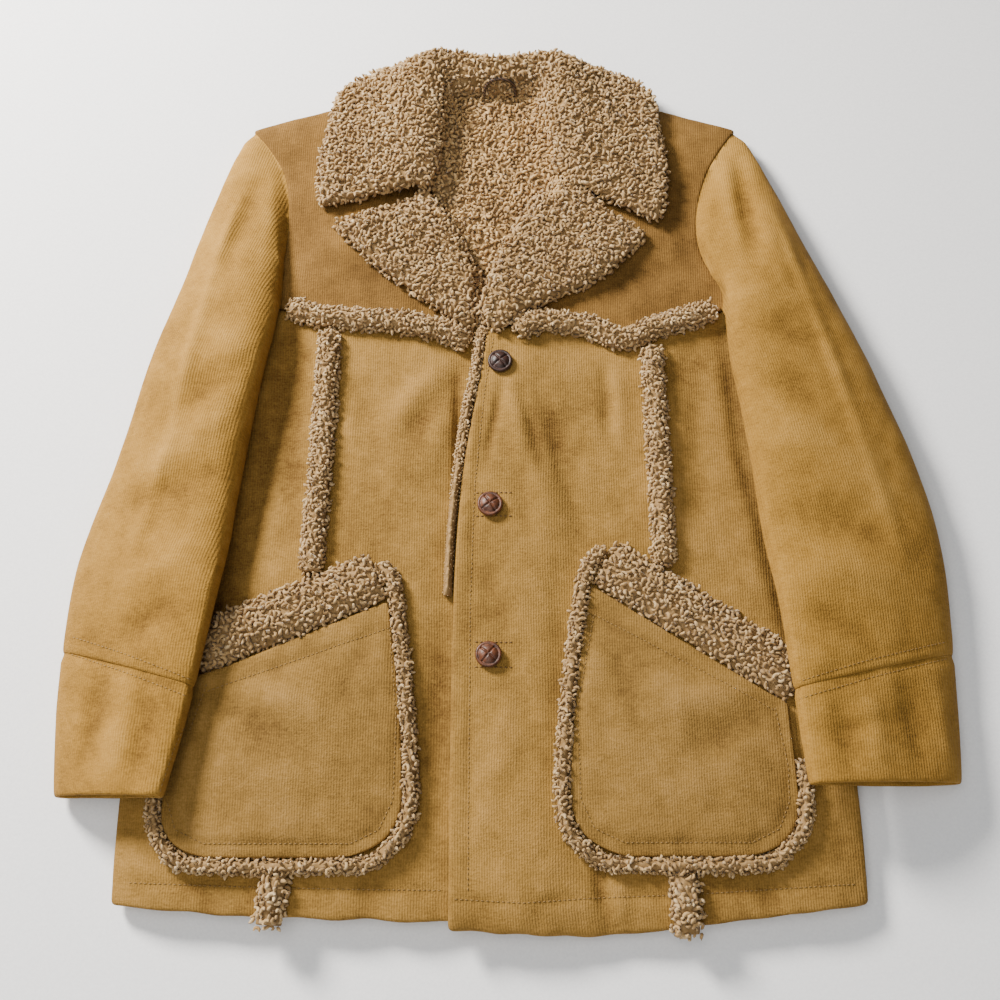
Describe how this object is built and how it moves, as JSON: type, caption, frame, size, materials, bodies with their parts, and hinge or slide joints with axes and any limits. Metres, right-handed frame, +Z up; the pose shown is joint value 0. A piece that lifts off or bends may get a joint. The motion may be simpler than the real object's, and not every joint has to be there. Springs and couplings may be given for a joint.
{
  "type": "rancher jacket",
  "caption": "Corduroy rancher jacket laid flat and buttoned, with curly pile collar, lapels, lining, seam trims and patch pockets.",
  "frame": {"origin": "on the floor under the middle of the laid-out jacket", "axes": "+Z up out of the front, +Y from the hem to the collar, +X to the wearer's left"},
  "size_m": [0.788, 0.8651, 0.0627],
  "materials": {
    "corduroy": "worn pin-wale corduroy",
    "pile": "curly mock-shearling pile",
    "button": "moulded leather look",
    "cord": "twisted cord"
  },
  "bodies": {
    "root": {"back": "corduroy", "yoke_right": "corduroy", "yoke_left": "corduroy", "side_front_right": "corduroy", "side_front_left": "corduroy", "centre_front_right": "corduroy", "centre_front_left": "corduroy", "sleeve_right": "corduroy", "sleeve_left": "corduroy", "cuff_right": "corduroy", "cuff_left": "corduroy", "pocket_right": "corduroy", "pocket_left": "corduroy", "neck_lining": "pile", "collar": "pile", "lapel_right": "pile", "lapel_left": "pile", "yoke_trim_right": "pile", "yoke_trim_left": "pile", "seam_trim_right": "pile", "seam_trim_left": "pile", "hem_tail_right": "pile", "hem_tail_left": "pile", "front_edge_trim": "pile", "pocket_cuff_right": "pile", "pocket_cuff_left": "pile", "pocket_edge_right": "pile", "pocket_edge_left": "pile", "button_top": "button", "button_middle": "button", "button_bottom": "button", "hanger_loop": "cord"}
  },
  "joints": []
}
